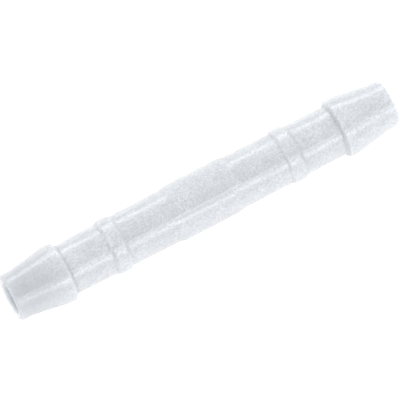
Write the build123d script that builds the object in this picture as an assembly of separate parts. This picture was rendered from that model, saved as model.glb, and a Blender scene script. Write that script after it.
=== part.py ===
from build123d import *

import math
import os

# ---------------------------------------------------------------------------
# Straight double-ended barbed hose connector, one injection moulding.
# Millimetres. X runs along the bore, origin at mid-length on the bore axis.
# ---------------------------------------------------------------------------

LENGTH = 52.4            # face to face
BORE_R = 2.15            # through bore
BORE_LEAD = 0.30         # rounded mouth of the bore

NOSE_R = 3.00            # short cylindrical pilot at each end
NOSE_LIP = 0.38          # rounding of the pilot's outer edge
NOSE_BACK_X = 24.52      # where the pilot turns into the entry cone

CREST_R = 3.76           # main barb
CREST_FRONT_X = 20.05    # end of the entry cone
CREST_BACK_X = 18.96     # back edge of the crest land
BARB_FOOT_X = 18.58      # where the back face meets the shank

TAIL_R_OUT = 3.18        # shank radius beside the main barb
TAIL_R_IN = 3.25         # shank radius beside the second barb

RING_OUT_X = 13.20       # second, low barb: foot on the nose side
RING_CREST_OUT_X = 12.72
RING_CREST_IN_X = 11.36
RING_IN_X = 10.95        # foot on the middle side
RING_R = 3.51

MID_R_OUT = 3.28         # shank radius beside the second barb, middle side
MID_R_IN = 3.36          # shank radius beside the grip lands

LAND_R = 3.54            # half-round grip land on the label side
LAND_R_LOW = 3.52        # half-round grip land on the other mould half
LAND_BEVEL = 0.34
LAND_FRONT = (-4.14, 4.66)   # label-side land, start and end along X
LAND_BACK = (-4.50, 4.22)    # other land
PARTING_ANGLE = 27.0     # mould parting plane, degrees from +Z towards -Y

GATE_R = 0.75            # sunk gate pad on the lower land
GATE_DEPTH = 0.12
GATE_NUB_R = 0.28        # broken-off gate stub inside the pad
GATE_NUB_H = 0.08

os.makedirs("parts", exist_ok=True)


def corner(previous, point, following, radius):
    """Tangent points and mid point of an arc that rounds one profile corner."""
    ax, ay = previous[0] - point[0], previous[1] - point[1]
    bx, by = following[0] - point[0], following[1] - point[1]
    la, lb = math.hypot(ax, ay), math.hypot(bx, by)
    ax, ay, bx, by = ax / la, ay / la, bx / lb, by / lb
    half = math.acos(max(-1.0, min(1.0, ax * bx + ay * by))) / 2
    reach = min(radius / math.tan(half), 0.48 * la, 0.48 * lb)
    r = reach * math.tan(half)
    mx, my = ax + bx, ay + by
    lm = math.hypot(mx, my)
    mx, my = mx / lm, my / lm
    to_centre = r / math.sin(half)
    start = (point[0] + ax * reach, point[1] + ay * reach)
    end = (point[0] + bx * reach, point[1] + by * reach)
    middle = (
        point[0] + mx * (to_centre - r),
        point[1] + my * (to_centre - r),
    )
    return start, middle, end


def rounded_face(points):
    """Closed face in the XY plane from (x, y, corner radius) points."""
    n = len(points)
    starts, arcs = [], []
    for i, (x, y, r) in enumerate(points):
        p = points[i - 1][:2]
        q = points[(i + 1) % n][:2]
        if r > 0:
            s, m, e = corner(p, (x, y), q, r)
            arcs.append((s, m, e))
        else:
            arcs.append(((x, y), None, (x, y)))
    edges = []
    for i in range(n):
        s, m, e = arcs[i]
        if m is not None:
            edges.append(Edge.make_three_point_arc(Vector(*s), Vector(*m), Vector(*e)))
        nxt = arcs[(i + 1) % n][0]
        if math.dist(e, nxt) > 1e-6:
            edges.append(Edge.make_line(Vector(*e), Vector(*nxt)))
    return Face(Wire(edges))


# outer profile of one half, from the middle outwards: (x, radius, corner rounding)
HALF = [
    (RING_IN_X, MID_R_OUT, 0.16),
    (RING_CREST_IN_X, RING_R, 0.14),
    (RING_CREST_OUT_X, RING_R, 0.18),
    (RING_OUT_X, TAIL_R_IN, 0.20),
    (BARB_FOOT_X, TAIL_R_OUT, 0.26),
    (CREST_BACK_X, CREST_R, 0.24),
    (CREST_FRONT_X, CREST_R, 1.60),
    (NOSE_BACK_X, NOSE_R, 1.00),
    (LENGTH / 2, NOSE_R, NOSE_LIP),
    (LENGTH / 2, BORE_R, BORE_LEAD),
]

profile = [(x, r, c) for x, r, c in HALF]
profile += [(-x, r, c) for x, r, c in reversed(HALF)]
profile += [(0.0, MID_R_IN, 2.0)]
body = revolve(rounded_face(profile), axis=Axis.X)


def half_land(x0, x1, r, start_angle):
    """Half-round raised land between x0 and x1, on one side of the parting plane."""
    inner = BORE_R + 0.45
    face = rounded_face(
        [
            (x0, inner, 0),
            (x0, MID_R_IN - 0.06, 0),
            (x0 + LAND_BEVEL, r, 0.12),
            (x1 - LAND_BEVEL, r, 0.12),
            (x1, MID_R_IN - 0.06, 0),
            (x1, inner, 0),
        ]
    )
    half = revolve(face, axis=Axis.X, revolution_arc=180)
    return half.rotate(Axis.X, start_angle)


# A face in XY starts at +Y; the sweep turns from +Y through +Z. The parting
# plane holds X and the direction PARTING_ANGLE from +Z towards -Y.
plane_angle = 90.0 + PARTING_ANGLE
body += half_land(*LAND_FRONT, LAND_R, plane_angle - 180.0)
body += half_land(*LAND_BACK, LAND_R_LOW, plane_angle)

# Gate pad on the lower land, square to the parting plane.
gate_angle = math.radians(plane_angle + 90.0)
gate_dir = Vector(0, math.cos(gate_angle), math.sin(gate_angle))
gate_plane = Plane(
    origin=gate_dir * (LAND_R_LOW - GATE_DEPTH), x_dir=(1, 0, 0), z_dir=gate_dir
)
body -= gate_plane * Cylinder(
    GATE_R, 1.0, align=(Align.CENTER, Align.CENTER, Align.MIN)
)
body += gate_plane * Cylinder(
    GATE_NUB_R, GATE_NUB_H, align=(Align.CENTER, Align.CENTER, Align.MIN)
)

solid = body.solid() if hasattr(body, "solid") else body
box = solid.bounding_box()
print("solids", len(body.solids()), "volume", round(solid.volume, 2))
print("box", box.min, box.max)
export_step(solid, "parts/connector_body.step")
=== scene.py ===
import math

import bpy
import numpy as np
from mathutils import Matrix, Vector


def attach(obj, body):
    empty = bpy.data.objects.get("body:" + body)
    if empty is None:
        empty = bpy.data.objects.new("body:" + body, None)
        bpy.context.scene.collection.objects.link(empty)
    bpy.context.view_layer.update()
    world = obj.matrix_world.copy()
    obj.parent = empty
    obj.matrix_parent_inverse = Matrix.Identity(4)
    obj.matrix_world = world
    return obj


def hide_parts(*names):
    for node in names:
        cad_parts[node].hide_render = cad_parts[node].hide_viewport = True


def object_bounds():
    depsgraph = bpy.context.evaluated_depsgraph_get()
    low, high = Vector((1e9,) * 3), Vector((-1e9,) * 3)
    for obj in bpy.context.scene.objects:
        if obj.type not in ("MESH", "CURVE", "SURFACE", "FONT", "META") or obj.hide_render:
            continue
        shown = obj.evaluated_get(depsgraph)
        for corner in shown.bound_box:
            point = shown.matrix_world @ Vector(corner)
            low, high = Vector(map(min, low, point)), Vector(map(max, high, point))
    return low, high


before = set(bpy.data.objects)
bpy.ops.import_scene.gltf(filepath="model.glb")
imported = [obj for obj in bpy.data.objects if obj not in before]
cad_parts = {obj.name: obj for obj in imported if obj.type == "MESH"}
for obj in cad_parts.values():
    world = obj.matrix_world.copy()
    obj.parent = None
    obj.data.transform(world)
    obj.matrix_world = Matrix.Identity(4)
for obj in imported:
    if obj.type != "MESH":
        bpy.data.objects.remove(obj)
cad_lo, cad_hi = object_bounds()

MM = 0.001

# ----------------------------------------------------------------------------
# sizes, in millimetres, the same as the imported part
# ----------------------------------------------------------------------------
HALF_LENGTH = (cad_hi.x - cad_lo.x) / 2 / MM
BORE_R, BORE_LEAD = 2.15, 0.30
NOSE_R, NOSE_LIP, NOSE_BACK_X = 3.00, 0.38, 24.52
CREST_R, CREST_FRONT_X, CREST_BACK_X, BARB_FOOT_X = 3.76, 20.05, 18.96, 18.58
TAIL_R_OUT, TAIL_R_IN = 3.18, 3.25
RING_OUT_X, RING_CREST_OUT_X, RING_CREST_IN_X, RING_IN_X = 13.20, 12.72, 11.36, 10.95
RING_R = 3.51
MID_R_OUT, MID_R_IN = 3.28, 3.36
LAND_R, LAND_R_LOW, LAND_BEVEL = 3.54, 3.52, 0.42
LAND_FRONT, LAND_BACK = (-4.14, 4.66), (-4.50, 4.22)
PARTING = math.radians(117.0)      # angle from +Y towards +Z of one parting line
GATE_R, GATE_DEPTH, GATE_NUB_R, GATE_NUB_H = 0.75, 0.12, 0.28, 0.08


def rounded(points, steps=7):
    """Open polyline with each corner (x, r, rounding) replaced by an arc."""
    out = []
    n = len(points)
    for i, (x, r, c) in enumerate(points):
        if i in (0, n - 1) or c <= 0:
            out.append((x, r))
            continue
        p, q = np.array(points[i - 1][:2]), np.array(points[i + 1][:2])
        v = np.array((x, r))
        a, b = p - v, q - v
        la, lb = np.linalg.norm(a), np.linalg.norm(b)
        a, b = a / la, b / lb
        half = math.acos(max(-1.0, min(1.0, float(a @ b)))) / 2
        reach = min(c / math.tan(half), 0.48 * la, 0.48 * lb)
        rad = reach * math.tan(half)
        m = (a + b) / np.linalg.norm(a + b)
        centre = v + m * (rad / math.sin(half))
        s, e = v + a * reach, v + b * reach
        a0 = math.atan2(*(s - centre)[::-1])
        a1 = math.atan2(*(e - centre)[::-1])
        while a1 - a0 > math.pi:
            a1 -= 2 * math.pi
        while a1 - a0 < -math.pi:
            a1 += 2 * math.pi
        for k in range(steps + 1):
            t = a0 + (a1 - a0) * k / steps
            out.append((centre[0] + rad * math.cos(t), centre[1] + rad * math.sin(t)))
    return out


HALF = [
    (RING_IN_X, MID_R_OUT, 0.16),
    (RING_CREST_IN_X, RING_R, 0.14),
    (RING_CREST_OUT_X, RING_R, 0.18),
    (RING_OUT_X, TAIL_R_IN, 0.20),
    (BARB_FOOT_X, TAIL_R_OUT, 0.26),
    (CREST_BACK_X, CREST_R, 0.24),
    (CREST_FRONT_X, CREST_R, 1.60),
    (NOSE_BACK_X, NOSE_R, 1.00),
    (HALF_LENGTH, NOSE_R, NOSE_LIP),
    (HALF_LENGTH, BORE_R, BORE_LEAD),
]
outline = (
    [(-HALF_LENGTH + 1.0, BORE_R, 0)]
    + [(-x, r, c) for x, r, c in reversed(HALF)]
    + [(0.0, MID_R_IN, 2.0)]
    + HALF
    + [(HALF_LENGTH - 1.0, BORE_R, 0)]
)
outline = np.array(rounded(outline))


def densify(points, longest):
    """Adds points on each straight run longer than longest(x)."""
    out = [points[0]]
    for a, b in zip(points[:-1], points[1:]):
        d = float(np.linalg.norm(b - a))
        if d < 1e-9:
            continue
        n = max(1, math.ceil(d / longest((a[0] + b[0]) / 2)))
        for k in range(1, n + 1):
            out.append(a + (b - a) * k / n)
    return np.array(out)


def spacing(x):
    x = abs(x)
    return 0.085 if x < 5.0 else 0.34


outline = densify(outline, spacing)
bore = densify(
    np.array([(HALF_LENGTH - 1.0, BORE_R), (0.06, BORE_R), (0.0, BORE_R), (-0.06, BORE_R), (-HALF_LENGTH + 1.0, BORE_R)]),
    lambda x: 0.9,
)[1:-1]
loop = np.vstack([outline, bore])
n_out = len(outline)

# angles: even, with close lines on each side of both parting lines
angles = list(np.arange(168) * 2 * math.pi / 168)
for at in (PARTING, PARTING + math.pi):
    angles = [a for a in angles if abs(math.remainder(a - at, 2 * math.pi)) > math.radians(3.1)]
    angles += [at + math.radians(d) for d in (-2.9, -2.2, -1.7, -1.3, -1.0, -0.7, -0.4, 0.0, 0.4, 0.7, 1.0, 1.3, 1.7, 2.2, 2.9)]
angles = np.array(sorted(a % (2 * math.pi) for a in angles))


def smooth(e0, e1, x):
    t = np.clip((x - e0) / (e1 - e0), 0, 1)
    return t * t * (3 - 2 * t)


def wave_noise(x, y, z, scale, seed, count=24):
    """Smooth seeded noise around -1 to 1, as a sum of sine waves."""
    rng = np.random.default_rng(seed)
    total = np.zeros_like(x)
    for _ in range(count):
        d = rng.normal(size=3)
        d /= np.linalg.norm(d)
        k = rng.uniform(0.5, 1.6) * 2 * math.pi / scale
        total += np.sin(k * (d[0] * x + d[1] * y + d[2] * z) + rng.uniform(0, 2 * math.pi))
    return total / math.sqrt(count)


def land(x, span, r):
    """Radius of a raised half-round land along x, falling to the shank at its two ends."""
    rise0 = smooth(span[0] - 0.02, span[0] + LAND_BEVEL, x)
    rise1 = 1 - smooth(span[1] - LAND_BEVEL, span[1] + 0.02, x)
    return rise0 * rise1 * r


X, A = np.meshgrid(loop[:, 0], angles, indexing="ij")
R = np.repeat(loop[:, 1][:, None], len(angles), axis=1)
outer = np.zeros(len(loop), bool)
outer[:n_out] = outline[:, 1] > BORE_R + BORE_LEAD + 0.15
OUT = np.repeat(outer[:, None], len(angles), axis=1)

# signed distance round the surface from the parting lines, in mm
from_a = np.vectorize(lambda v: math.remainder(v, 2 * math.pi))(A - PARTING)
from_b = np.vectorize(lambda v: math.remainder(v, 2 * math.pi))(A - PARTING - math.pi)
near_line = np.minimum(np.abs(from_a), np.abs(from_b)) * 3.4
# front side: from PARTING - 180 degrees to PARTING
front_side = smooth(-0.030, 0.030, np.sin(PARTING - A))

base = R.copy()
front = land(X, LAND_FRONT, LAND_R - MID_R_IN + 0.02)
back = land(X, LAND_BACK, LAND_R_LOW - MID_R_IN + 0.02)
raised = front * front_side + back * (1 - front_side)
R = np.where(OUT, R + np.maximum(raised - 0.02 * np.minimum(1, raised * 20), 0), R)

# flash line where the two mould halves meet: a fine bead, stronger on the lands
on_land = smooth(0.05, 0.18, raised)
bead = np.exp(-((near_line / 0.080) ** 2)) * (0.014 + 0.042 * on_land)
groove = np.exp(-(((near_line - 0.24) / 0.09) ** 2)) * 0.024 * on_land
away = 1 - smooth(CREST_BACK_X - 0.8, CREST_BACK_X, np.abs(X)) * (1 - smooth(CREST_FRONT_X + 0.6, CREST_FRONT_X + 1.4, np.abs(X)))
R = np.where(OUT, R + (bead - groove) * (0.35 + 0.65 * away), R)

# sunk gate pad with its broken-off stub on the lower land
gate_at = PARTING + math.pi / 2
arc = np.vectorize(lambda v: math.remainder(v, 2 * math.pi))(A - gate_at) * LAND_R_LOW
dist = np.hypot(X, arc)
pad = 1 - smooth(GATE_R - 0.10, GATE_R, dist)
ragged = GATE_NUB_R * (1 + 0.16 * np.sin(3 * np.arctan2(arc, X) + 0.7) + 0.09 * np.sin(7 * np.arctan2(arc, X)))
nub = 1 - smooth(ragged - 0.09, ragged, dist)
R = np.where(OUT & (np.abs(X) < 2), R - pad * GATE_DEPTH + nub * GATE_NUB_H, R)

# the moulding isn't perfect: slow waves of a few microns
Y, Z = R * np.cos(A), R * np.sin(A)
wav = wave_noise(X, Y, Z, 5.5, 7) * 0.0055 + wave_noise(X, Y, Z, 1.9, 8) * 0.0022
limit = 1 - smooth(3.62, 3.73, R)
end_keep = 1 - smooth(HALF_LENGTH - 0.5, HALF_LENGTH - 0.1, np.abs(X))
R = np.where(OUT, R + wav * limit * end_keep, R)
R = np.where(OUT, np.minimum(R, CREST_R - 0.001), R)

# inside: the line where the two core pins meet
inside = ~OUT & (np.abs(X) < HALF_LENGTH - 1.0)
R = np.where(inside, R - 0.05 * np.exp(-((X / 0.05) ** 2)), R)

verts = np.stack([X, R * np.cos(A), R * np.sin(A)], axis=-1).reshape(-1, 3) * MM
n_loop, n_ang = len(loop), len(angles)
i, j = np.meshgrid(np.arange(n_loop), np.arange(n_ang), indexing="ij")
i2, j2 = (i + 1) % n_loop, (j + 1) % n_ang
faces = np.stack([i * n_ang + j, i * n_ang + j2, i2 * n_ang + j2, i2 * n_ang + j], axis=-1).reshape(-1, 4)

mesh = bpy.data.meshes.new("connector_moulding")
mesh.vertices.add(len(verts))
mesh.vertices.foreach_set("co", verts.astype(np.float32).ravel())
mesh.loops.add(faces.size)
mesh.loops.foreach_set("vertex_index", faces.astype(np.int32).ravel())
mesh.polygons.add(len(faces))
mesh.polygons.foreach_set("loop_start", np.arange(0, faces.size, 4, dtype=np.int32))
mesh.update(calc_edges=True)
mesh.validate()
mesh.polygons.foreach_set("use_smooth", np.ones(len(faces), bool))

# where the label panel on the front land, the near end and the bore are, for the material; the near end is
# painted shade and the bore is painted light
panel_side = smooth(0.10, 0.16, np.sin(PARTING - A)) * smooth(LAND_FRONT[0] + 0.30, LAND_FRONT[0] + 0.45, X) * (1 - smooth(LAND_FRONT[1] - 0.45, LAND_FRONT[1] - 0.30, X))
panel_side = np.where(OUT, panel_side, 0.0)
layer = mesh.attributes.new("panel", "FLOAT", "POINT")
layer.data.foreach_set("value", panel_side.astype(np.float32).ravel())
# painted shade: the outside darkens towards the near (-X) nose to stand in for the weaker light on that end
near_end_shade = np.where(OUT, smooth(CREST_BACK_X - 1.0, NOSE_BACK_X, -X), 0.0)
layer = mesh.attributes.new("near_end_shade", "FLOAT", "POINT")
layer.data.foreach_set("value", near_end_shade.astype(np.float32).ravel())
# painted light: the inside of the bore gets a lighter colour to stand in for light coming through the thin
# walls
bore_painted_light = np.where(OUT, 0.0, 1.0)
layer = mesh.attributes.new("bore_painted_light", "FLOAT", "POINT")
layer.data.foreach_set("value", bore_painted_light.astype(np.float32).ravel())

part = bpy.data.objects.new("connector_moulding", mesh)
bpy.context.scene.collection.objects.link(part)
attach(part, "root")
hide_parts("connector_body")

# outward normals
mesh.calc_loop_triangles()
tri = np.empty(len(mesh.loop_triangles) * 3, np.int32)
mesh.loop_triangles.foreach_get("vertices", tri)
t = verts[tri.reshape(-1, 3)]
if float(np.einsum("ij,ij->i", t[:, 0], np.cross(t[:, 1], t[:, 2])).sum()) < 0:
    mesh.flip_normals()


# ----------------------------------------------------------------------------
# materials
# ----------------------------------------------------------------------------
def new_material(name):
    m = bpy.data.materials.new(name)
    m.use_nodes = True
    nt = m.node_tree
    nt.nodes.clear()
    out = nt.nodes.new("ShaderNodeOutputMaterial")
    p = nt.nodes.new("ShaderNodeBsdfPrincipled")
    nt.links.new(p.outputs[0], out.inputs["Surface"])
    return m, nt, p


def node(nt, kind, **values):
    n = nt.nodes.new(kind)
    for key, value in values.items():
        if hasattr(n, key):
            setattr(n, key, value)
        else:
            n.inputs[key.replace("_", " ")].default_value = value
    return n


def noise(nt, coord, scale, detail=3.0, rough=0.55):
    n = nt.nodes.new("ShaderNodeTexNoise")
    n.inputs["Scale"].default_value = scale
    n.inputs["Detail"].default_value = detail
    n.inputs["Roughness"].default_value = rough
    nt.links.new(coord, n.inputs["Vector"])
    return n.outputs[0]


def span(nt, value, f0, f1, t0, t1):
    n = nt.nodes.new("ShaderNodeMapRange")
    n.inputs["From Min"].default_value = f0
    n.inputs["From Max"].default_value = f1
    n.inputs["To Min"].default_value = t0
    n.inputs["To Max"].default_value = t1
    nt.links.new(value, n.inputs["Value"])
    return n.outputs[0]


def maths(nt, op, a, b):
    n = nt.nodes.new("ShaderNodeMath")
    n.operation = op
    for k, v in enumerate((a, b)):
        if isinstance(v, (int, float)):
            n.inputs[k].default_value = v
        else:
            nt.links.new(v, n.inputs[k])
    return n.outputs[0]


def mix_colour(nt, factor, a, b):
    n = nt.nodes.new("ShaderNodeMix")
    n.data_type = "RGBA"
    nt.links.new(factor, n.inputs[0])
    for k, v in ((6, a), (7, b)):
        if isinstance(v, tuple):
            n.inputs[k].default_value = (*v, 1)
        else:
            nt.links.new(v, n.inputs[k])
    return n.outputs[2]


plastic, nt, p = new_material("natural_nylon")
coord = nt.nodes.new("ShaderNodeTexCoord").outputs["Object"]


def attribute(name):
    n = nt.nodes.new("ShaderNodeAttribute")
    n.attribute_name = name
    return n.outputs["Fac"]


panel, near_end_shade_at, bore_painted_light_at = attribute("panel"), attribute("near_end_shade"), attribute("bore_painted_light")
grain = noise(nt, coord, 3600, 2.0)          # 0.3 mm cloudy grain of the semi-crystalline plastic
speck = noise(nt, coord, 7600, 1.0)          # 0.1 mm speckle
cloud = noise(nt, coord, 420, 3.0)           # slow milky variation
tone = mix_colour(nt, span(nt, cloud, 0.35, 0.65, 0, 1), (0.590, 0.604, 0.627), (0.650, 0.663, 0.682))
tone = mix_colour(nt, span(nt, grain, 0.38, 0.62, 0, 0.75), tone, (0.50, 0.513, 0.536))
tone = mix_colour(nt, span(nt, speck, 0.56, 0.76, 0, 0.75), tone, (0.84, 0.85, 0.868))
# painted shade: darker towards the near nose
tone = mix_colour(nt, span(nt, near_end_shade_at, 0, 1, 0, 0.55), tone, (0.48, 0.492, 0.510))
# painted light: lighter inside the bore
tone = mix_colour(nt, span(nt, bore_painted_light_at, 0, 1, 0, 0.85), tone, (0.72, 0.73, 0.74))
nt.links.new(tone, p.inputs["Base Color"])
p.inputs["IOR"].default_value = 1.52
p.inputs["Subsurface Weight"].default_value = 1.0
p.inputs["Subsurface Radius"].default_value = (1.0, 1.05, 1.15)
p.inputs["Subsurface Scale"].default_value = 0.0011
rough = maths(nt, "ADD", span(nt, grain, 0.3, 0.7, 0.27, 0.37), span(nt, panel, 0, 1, 0, 0.24))
nt.links.new(rough, p.inputs["Roughness"])
bump = nt.nodes.new("ShaderNodeBump")
bump.inputs["Strength"].default_value = 0.55
bump.inputs["Distance"].default_value = 0.00003
height = maths(nt, "ADD", maths(nt, "MULTIPLY", grain, 1.0), maths(nt, "MULTIPLY", speck, 0.5))
fine = maths(nt, "MULTIPLY", noise(nt, coord, 14000, 2.0), span(nt, panel, 0, 1, 0.15, 1.3))
nt.links.new(maths(nt, "ADD", height, fine), bump.inputs["Height"])
nt.links.new(bump.outputs[0], p.inputs["Normal"])
mesh.materials.append(plastic)
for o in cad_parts.values():
    o.data.materials.clear()
    o.data.materials.append(plastic)

# ----------------------------------------------------------------------------
# floor and light
# ----------------------------------------------------------------------------
floor_z = cad_lo.z - 0.00002
fm = bpy.data.meshes.new("floor")
s = 1.6
fm.from_pydata([(-s, -s, floor_z), (s, -s, floor_z), (s, s, floor_z), (-s, s, floor_z)], [], [(0, 1, 2, 3)])
floor = bpy.data.objects.new("floor", fm)
bpy.context.scene.collection.objects.link(floor)
white, fnt, fp = new_material("pale_floor")
fp.inputs["Base Color"].default_value = (0.845, 0.832, 0.825, 1)
fp.inputs["Roughness"].default_value = 0.9
fp.inputs["Specular IOR Level"].default_value = 0.1
fp.inputs["Emission Color"].default_value = (1, 1, 1, 1)
fp.inputs["Emission Strength"].default_value = 0.27
fm.materials.append(white)

HORIZON, TENT, HOLE = 0.12, 0.86, 0.50
SIDE = 0.36
scene = bpy.context.scene
world = bpy.data.worlds.new("studio")
scene.world = world
world.use_nodes = True
wt = world.node_tree
bg = wt.nodes["Background"]
direction = wt.nodes.new("ShaderNodeTexCoord").outputs["Generated"]


def towards(vector):
    """How nearly a direction of the sky points along vector: 1 is straight at it."""
    n = wt.nodes.new("ShaderNodeVectorMath")
    n.operation = "DOT_PRODUCT"
    n.inputs[1].default_value = Vector(vector).normalized()
    wt.links.new(direction, n.inputs[0])
    return n.outputs["Value"]


# a light tent: pale all round, dimmer near the table, with an open top
tent = span(wt, towards((0, 0, 1)), 0.0, 0.55, HORIZON, TENT)
hole = span(wt, towards((-0.179, -0.320, 0.931)), 0.86, 0.985, 1.0, HOLE)
side = span(wt, towards((-0.97, 0.0, 0.26)), 0.45, 0.95, 0.0, SIDE)
wt.links.new(maths(wt, "ADD", maths(wt, "MULTIPLY", tent, hole), side), bg.inputs["Strength"])
bg.inputs["Color"].default_value = (0.965, 0.985, 1.0, 1)

# camera: at the photograph's viewing angle, over the near end
AZ, EL, DIST, LENS = math.radians(-29.05), math.radians(69.2), 0.75, 557.9
aim = Vector((-0.00005, 0, 0))
back = Vector((math.sin(AZ) * math.cos(EL), -math.cos(AZ) * math.cos(EL), math.sin(EL)))
cam_data = bpy.data.cameras.new("camera")
cam_data.lens, cam_data.sensor_width = LENS, 36
cam_data.clip_start, cam_data.clip_end = 0.05, 20
cam = bpy.data.objects.new("camera", cam_data)
scene.collection.objects.link(cam)
cam.rotation_mode = "QUATERNION"
cam.location = aim + back * DIST
cam.rotation_quaternion = (-back).to_track_quat("-Z", "Y")
scene.camera = cam


def area(name, direction, distance, size_x, size_y, power, colour=(1, 1, 1)):
    """Soft box that faces the object from a direction in the row frame."""
    d = Vector(direction).normalized()
    data = bpy.data.lights.new(name, "AREA")
    data.shape = "RECTANGLE"
    data.size, data.size_y = size_x, size_y
    data.energy = power
    data.color = colour
    o = bpy.data.objects.new(name, data)
    scene.collection.objects.link(o)
    o.location = d * distance
    z = d
    x = Vector((1, 0, 0)) - z * z.x
    x.normalize()
    y = z.cross(x)
    o.matrix_world = Matrix.Translation(d * distance) @ Matrix((x, y, z)).transposed().to_4x4()
    return o


area("softbox_back", (0.17, 0.90, 0.42), 0.9, 1.0, 0.10, 5.1)
area("softbox_front", (0.17, -0.84, 0.52), 0.9, 1.0, 0.10, 4.9)

scene.view_settings.view_transform = "Standard"
scene.view_settings.look = "None"
scene.view_settings.exposure = 0.0
